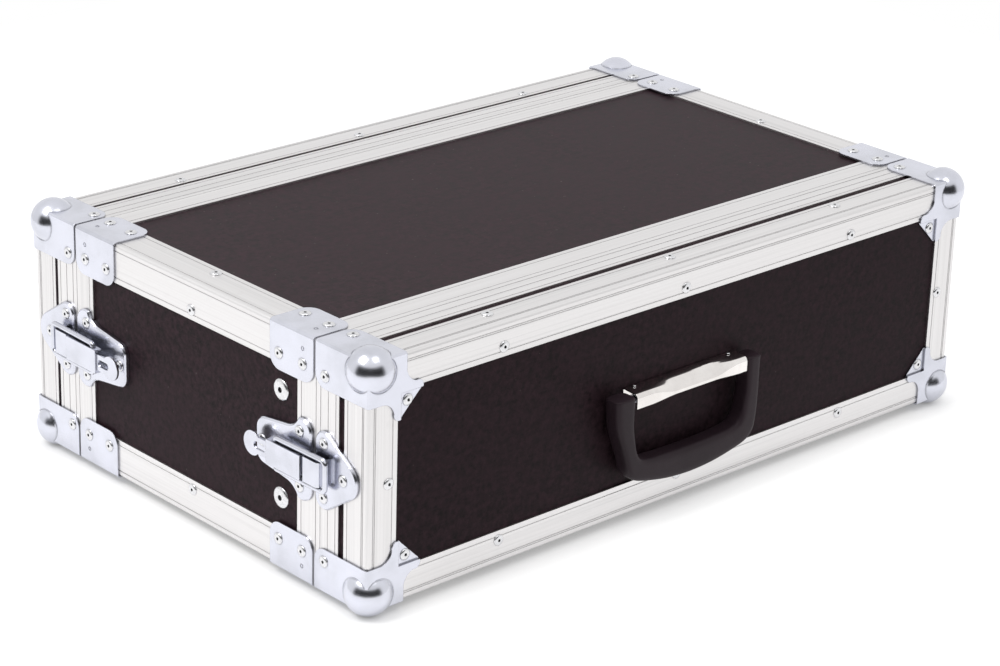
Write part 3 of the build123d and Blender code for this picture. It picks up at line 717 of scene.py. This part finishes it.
# The bracket over the handle: its sheet, the fall of its top to the front, its front lip, the fold at its
# back, the rounding of its front edge, and where and how deep the scoop is pressed
SADDLE_SHEET = 1.0 * MM
SADDLE_STEPS = 72
SADDLE_FALL = 0.9 * MM
SADDLE_LIP = 2.4 * MM
SADDLE_FOLD = 0.3
SADDLE_LEDGE = 0.25 * MM
CURL_STEPS = 12
SADDLE_CURL = 3.6 * MM
SCOOP_RISE = (-38.0 * MM, -14.0 * MM)
SCOOP_FALL = (20.0 * MM, 44.0 * MM)
SCOOP_BACK = 3.5 * MM
SCOOP_DOWN = 3.0 * MM
SCOOP_CREASE = 0.25 * MM
SCOOP_CREASE_START = (-6.0 * MM, 20.0 * MM)
SCOOP_TILT = 29.0
SADDLE_ARCH = 1.4 * MM


def saddle_section(along, low, high):
    """The middle line of the folded sheet at one place, from its rear lip over the top to its front lip."""
    half = SADDLE_SHEET / 2
    scoop = smooth_step(along, *SCOOP_RISE) * (1 - smooth_step(along, *SCOOP_FALL))
    back = SADDLE_CURL + SCOOP_BACK * scoop
    down = SADDLE_CURL + SCOOP_DOWN * scoop
    near = high.y - half
    far = low.y + half
    top = high.z - half
    fold = SADDLE_FOLD * SADDLE_SHEET
    line = [(near, low.z), (near, top - SADDLE_SHEET), (near - fold, top - fold), (near - SADDLE_SHEET, top)]
    start_y = far + back
    start_z = top - SADDLE_FALL * (near - far - back) / (near - far)
    line.append((start_y + SADDLE_LEDGE, start_z))
    start_z -= SCOOP_CREASE * smooth_step(along, *SCOOP_CREASE_START) * scoop
    turn_z = start_z - back * tan(radians(SCOOP_TILT * scoop))
    end_z = top - SADDLE_FALL - down
    for k in range(CURL_STEPS + 1):
        t = k / CURL_STEPS
        first, middle, last = (1 - t) ** 2, 2 * t * (1 - t), t**2
        y = first * start_y + middle * far + last * far
        z = first * start_z + middle * turn_z + last * end_z
        line.append((y, z))
    line.append((far, low.z + SADDLE_LIP + SADDLE_ARCH * scoop))
    return line


def handle_saddle():
    """The polished bracket over the handle's bar, with a scoop pressed into its front edge."""
    low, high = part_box("handle_bracket")
    middle = (low.x + high.x) / 2
    rings = []
    for i in range(SADDLE_STEPS + 1):
        x = low.x + (high.x - low.x) * i / SADDLE_STEPS
        line = [Vector((x, y, z)) for y, z in saddle_section(x - middle, low, high)]
        over = []
        under = []
        for k, point in enumerate(line):
            along = (line[min(k + 1, len(line) - 1)] - line[max(k - 1, 0)]).normalized()
            outward = Vector((1, 0, 0)).cross(along)
            over.append(point - outward * SADDLE_SHEET / 2)
            under.append(point + outward * SADDLE_SHEET / 2)
        rings.append(over + under[::-1])
    points = [p for ring in rings for p in ring]
    count = len(rings[0])
    faces = band_faces(len(rings), count)
    for first, turn in ((0, 1), (len(points) - count, -1)):
        for k in range(count // 2 - 1):
            face = (first + k, first + k + 1, first + count - 2 - k, first + count - 1 - k)
            faces.append(face[::-turn])
    name = "handle_bracket_pressed"
    body = body_of("handle_bracket")
    piece = mesh_piece(name, points, faces, body, [NICKEL], smooth=SADDLE_SMOOTH_ANGLE)
    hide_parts("handle_bracket")


# The balls, whose middles lie in from the case's edges, and which are shifted out a little from the packed
# ones; points of the plates that are out of the case by more than TIP_FROM are drawn in to TIP_KEPT
BALL_RADIUS = 15.06 * MM
BALL_INSET = 9.5 * MM
BALL_STEPS = (56, 36)
BALL_SHIFT = 0.9 * MM
TIP_FROM = 2.0 * MM
TIP_KEPT = 14.4 * MM
TIP_REACH = 0.93

# The pressed lip round a ball: part of a ring on each plate, thinner at its ends
SEAM_RING = 11.6 * MM
SEAM_RADIUS = 0.36 * MM
SEAM_END_SHARE = 0.25
SEAM_END_STEPS = 6
SEAM_ARC = (-46.0, 136.0)
SEAM_STEPS = 28
SEAM_SIDES = 8
PLATE_OUT = 1.2 * MM


def ball_centres(face, outward):
    """The middle of each ball of one lid, with the three ways out of the case there."""
    for x, z in CORNERS:
        side = Vector((x, outward, z))
        edge = Vector((x * HALF_WIDTH, face, CASE_TOP if z > 0 else CASE_BOTTOM))
        yield edge - side * BALL_INSET, side


def push_tips_in(mesh, centre, side):
    """The plates' outermost points at one ball, drawn in under its surface."""
    for vertex in mesh.vertices:
        offset = vertex.co - centre
        if min(offset[k] * side[k] for k in range(3)) > TIP_FROM and offset.length > TIP_KEPT:
            vertex.co = centre + offset.normalized() * TIP_KEPT


def stands_out(spot, side):
    """Whether a place on a ball shows beside the plates."""
    outside = max(spot[k] * side[k] for k in range(3)) > BALL_INSET - BALL_SHIFT
    return outside or spot.normalized().dot(side.normalized()) > TIP_REACH


def round_balls(node, face, outward):
    """The ball corners of one lid: full smooth balls, and plates whose tips no longer stand out of them."""
    mesh = NODES[node].data.copy()
    sphere = bmesh.new()
    bmesh.ops.create_uvsphere(sphere, u_segments=BALL_STEPS[0], v_segments=BALL_STEPS[1], radius=BALL_RADIUS)
    spots = [v.co.copy() for v in sphere.verts]
    skin = [(polygon.calc_center_median(), [v.index for v in polygon.verts]) for polygon in sphere.faces]
    sphere.free()
    points = []
    faces = []
    for centre, side in ball_centres(face, outward):
        push_tips_in(mesh, centre, side)
        cap = [corners for middle, corners in skin if stands_out(middle, side)]
        used = sorted({i for corners in cap for i in corners})
        place = {i: k for k, i in enumerate(used)}
        ball = [centre + BALL_SHIFT * side + spots[i] for i in used]
        add_surface(points, faces, ball, [[place[i] for i in corners] for corners in cap])
    mesh_piece(f"{node}_balls", points, faces, body_of(node), [ZINC])
    plates = bpy.data.objects.new(f"{node}_plates", mesh)
    bpy.context.scene.collection.objects.link(plates)
    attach(plates, body_of(node))
    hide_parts(node)


def seam_rings(node, face, outward):
    """The pressed lip round each ball of one lid, on the three plates of each corner."""
    points = []
    faces = []
    for centre, side in ball_centres(face, outward):
        for axis in range(3):
            u, v = [k for k in range(3) if k != axis]
            route = []
            radii = []
            for k in range(SEAM_STEPS + 1):
                angle = radians(SEAM_ARC[0] + (SEAM_ARC[1] - SEAM_ARC[0]) * k / SEAM_STEPS)
                spot = centre.copy()
                spot[axis] += side[axis] * (BALL_INSET + PLATE_OUT)
                spot[u] -= side[u] * (SEAM_RING * cos(angle) - BALL_SHIFT)
                spot[v] -= side[v] * (SEAM_RING * sin(angle) - BALL_SHIFT)
                route.append(spot)
                full = smooth_step(min(k, SEAM_STEPS - k), 0, SEAM_END_STEPS)
                radii.append(SEAM_RADIUS * (SEAM_END_SHARE + (1 - SEAM_END_SHARE) * full))
            add_surface(points, faces, *tube(route, radii, SEAM_SIDES))
    mesh_piece(f"{node}_seams", points, faces, body_of(node), [ZINC])


# How far a lid frame's edge is drawn back, and how near a point has to be to belong to that edge
GAP_CUT = 0.75 * MM
AT_EDGE = 0.05 * MM


def widen_gap(node, at_high, shift):
    """A lid frame drawn back a little along the case, so that the strip of bare plywood shows wider."""
    low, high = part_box(node)
    edge = high.y if at_high else low.y
    mesh = NODES[node].data.copy()
    for vertex in mesh.vertices:
        if abs(vertex.co.y - edge) < AT_EDGE:
            vertex.co.y += shift
    piece = bpy.data.objects.new(f"{node}_trimmed", mesh)
    bpy.context.scene.collection.objects.link(piece)
    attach(piece, body_of(node))
    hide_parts(node)


# A small pressed mark: distance from its middle and height, in millimetres
DIMPLE = ((0.05, -0.23), (0.6, -0.20), (1.0, 0.02), (1.25, 0.14), (1.55, 0.02))
DIMPLE_STEPS = 20
DIMPLE_FROM_EDGE = 9.0 * MM
DIMPLE_FROM_END = 10.0 * MM


def bracket_dimples(node, at_low):
    """The small pressed marks on the plates of four corner brackets."""
    low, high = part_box(node)
    y = low.y + DIMPLE_FROM_END if at_low else high.y - DIMPLE_FROM_END
    profile = [(r * MM, h * MM) for r, h in DIMPLE]
    points = []
    faces = []
    for x, z in CORNERS:
        outer_x = x * (HALF_WIDTH + PLATE_OUT)
        outer_z = CASE_TOP + PLATE_OUT if z > 0 else CASE_BOTTOM - PLATE_OUT
        on_end = (Vector((outer_x, y, outer_z - z * (DIMPLE_FROM_EDGE + PLATE_OUT))), Vector((x, 0, 0)))
        on_face = (Vector((outer_x - x * (DIMPLE_FROM_EDGE + PLATE_OUT), y, outer_z)), Vector((0, 0, z)))
        for seat, normal in (on_end, on_face):
            mark, mark_faces, _ = turned(profile, DIMPLE_STEPS, seat, normal)
            add_surface(points, faces, mark, mark_faces)
    mesh_piece(f"{node}_dimples", points, faces, body_of(node), [ZINC])


# Studio

def build_floor():
    """A pale floor that keeps the object's real shadow, has a painted shadow in its glow near the case, and
    looks white to the camera and in the metal.
    """
    mesh = bpy.data.meshes.new("floor")
    half = FLOOR_SIZE / 2
    corners = [(-half, -half, 0), (half, -half, 0), (half, half, 0), (-half, half, 0)]
    mesh.from_pydata(corners, [], [(0, 1, 2, 3)])
    floor = bpy.data.objects.new("floor", mesh)
    bpy.context.scene.collection.objects.link(floor)
    floor.location.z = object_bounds()[0].z
    material = bpy.data.materials.new("floor")
    material.use_nodes = True
    s = Nodes(material.node_tree)
    s.tree.nodes.clear()
    diffuse = s.add("ShaderNodeBsdfDiffuse", Color=(FLOOR_COLOUR, FLOOR_COLOUR, FLOOR_COLOUR, 1.0))
    # Painted shadow: the floor's glow is dimmed where the case is near.
    painted_shadow = s.occlusion(PAINTED_SHADOW_SAMPLES, PAINTED_SHADOW_REACH)
    level = s.remap(painted_shadow, (0.0, 1.0), (PAINTED_SHADOW_LOW * FLOOR_GLOW, FLOOR_GLOW))
    glow = s.add("ShaderNodeEmission", Strength=s.math("MULTIPLY", s.seen_rays(), level))
    both = s.add("ShaderNodeAddShader")
    s.set(both, {0: diffuse.outputs[0], 1: glow.outputs[0]})
    s.add("ShaderNodeOutputMaterial", Surface=both.outputs[0])
    mesh.materials.append(material)


def build_world():
    """A white room for the camera, whose side behind the camera is dark where metal mirrors it."""
    world = bpy.data.worlds.new("room")
    bpy.context.scene.world = world
    world.use_nodes = True
    s = Nodes(world.node_tree)
    direction = s.add("ShaderNodeTexCoord").outputs["Generated"]
    azimuth = radians(CAMERA_AZIMUTH)
    facing = s.vector_math("DOT_PRODUCT", direction, (sin(azimuth), -cos(azimuth), 0.0))
    side = s.remap(facing, DARK_SIDE, (0.0, 1.0), "SMOOTHSTEP")
    low = s.remap(s.parts(direction)["Z"], DARK_HEIGHT, (1.0, 0.0), "SMOOTHSTEP")
    mirrored = s.add("ShaderNodeLightPath").outputs["Is Glossy Ray"]
    dark = s.math("MULTIPLY", s.math("MULTIPLY", side, low), mirrored)
    strength = s.remap(s.seen_rays(), (0.0, 1.0), (WORLD_STRENGTH, 1.0))
    colour = s.remap(dark, (0.0, 1.0), (1.0, DARK_ROOM), "SMOOTHSTEP")
    s.set(s.tree.nodes["Background"], {"Color": colour, "Strength": strength})


def soft_box(name, place, size, power):
    """A square soft light that points at the case."""
    lamp = bpy.data.lights.new(name, "AREA")
    lamp.shape = "SQUARE"
    lamp.size = size
    lamp.energy = power
    light = bpy.data.objects.new(name, lamp)
    bpy.context.scene.collection.objects.link(light)
    light.location = place
    light.rotation_euler = (MIDDLE - Vector(place)).to_track_quat("-Z", "Y").to_euler()


def build_lights():
    """Two soft boxes above the camera, the stronger one to its left."""
    soft_box("left_box", **LEFT_BOX)
    soft_box("right_box", **RIGHT_BOX)


def build_camera():
    """The photograph's view."""
    data = bpy.data.cameras.new("camera")
    data.lens = CAMERA_LENS
    data.sensor_width = SENSOR_WIDTH
    data.clip_start = CLIP_START
    camera = bpy.data.objects.new("camera", data)
    bpy.context.scene.collection.objects.link(camera)
    a, e, r = (radians(angle) for angle in (CAMERA_AZIMUTH, CAMERA_ELEVATION, CAMERA_ROLL))
    back = Vector((sin(a) * cos(e), -cos(a) * cos(e), sin(e)))
    right = (-back).cross(Vector((0, 0, 1))).normalized()
    up = right.cross(-back)
    right, up = right * cos(r) + up * sin(r), up * cos(r) - right * sin(r)
    turn = Matrix((right, up, back)).transposed().to_4x4()
    camera.matrix_world = Matrix.Translation(CAMERA_PLACE) @ turn
    bpy.context.scene.camera = camera


paint_nodes()
for rivet_node in [name for name in NODES if name.endswith("_rivets")]:
    rivet_heads(rivet_node)
for latch_place in ("front_left", "front_right", "rear_left", "rear_right"):
    bail(latch_place)
handle_grip()
handle_saddle()
for lid, lid_face, way in (("front", LID_FACES[0], -1), ("rear", LID_FACES[1], 1)):
    round_balls(f"{lid}_ball_corners", lid_face, way)
    seam_rings(f"{lid}_ball_corners", lid_face, way)
for lid, inward in (("front", 1), ("rear", -1)):
    widen_gap(f"{lid}_lid_angle_frame", inward > 0, -inward * GAP_CUT)
    widen_gap(f"{lid}_lid_rim_frame", inward < 0, inward * GAP_CUT)
    bracket_dimples(f"{lid}_corner_brackets", inward > 0)
build_floor()
build_world()
build_lights()
build_camera()
bpy.context.scene.view_settings.view_transform = "Standard"
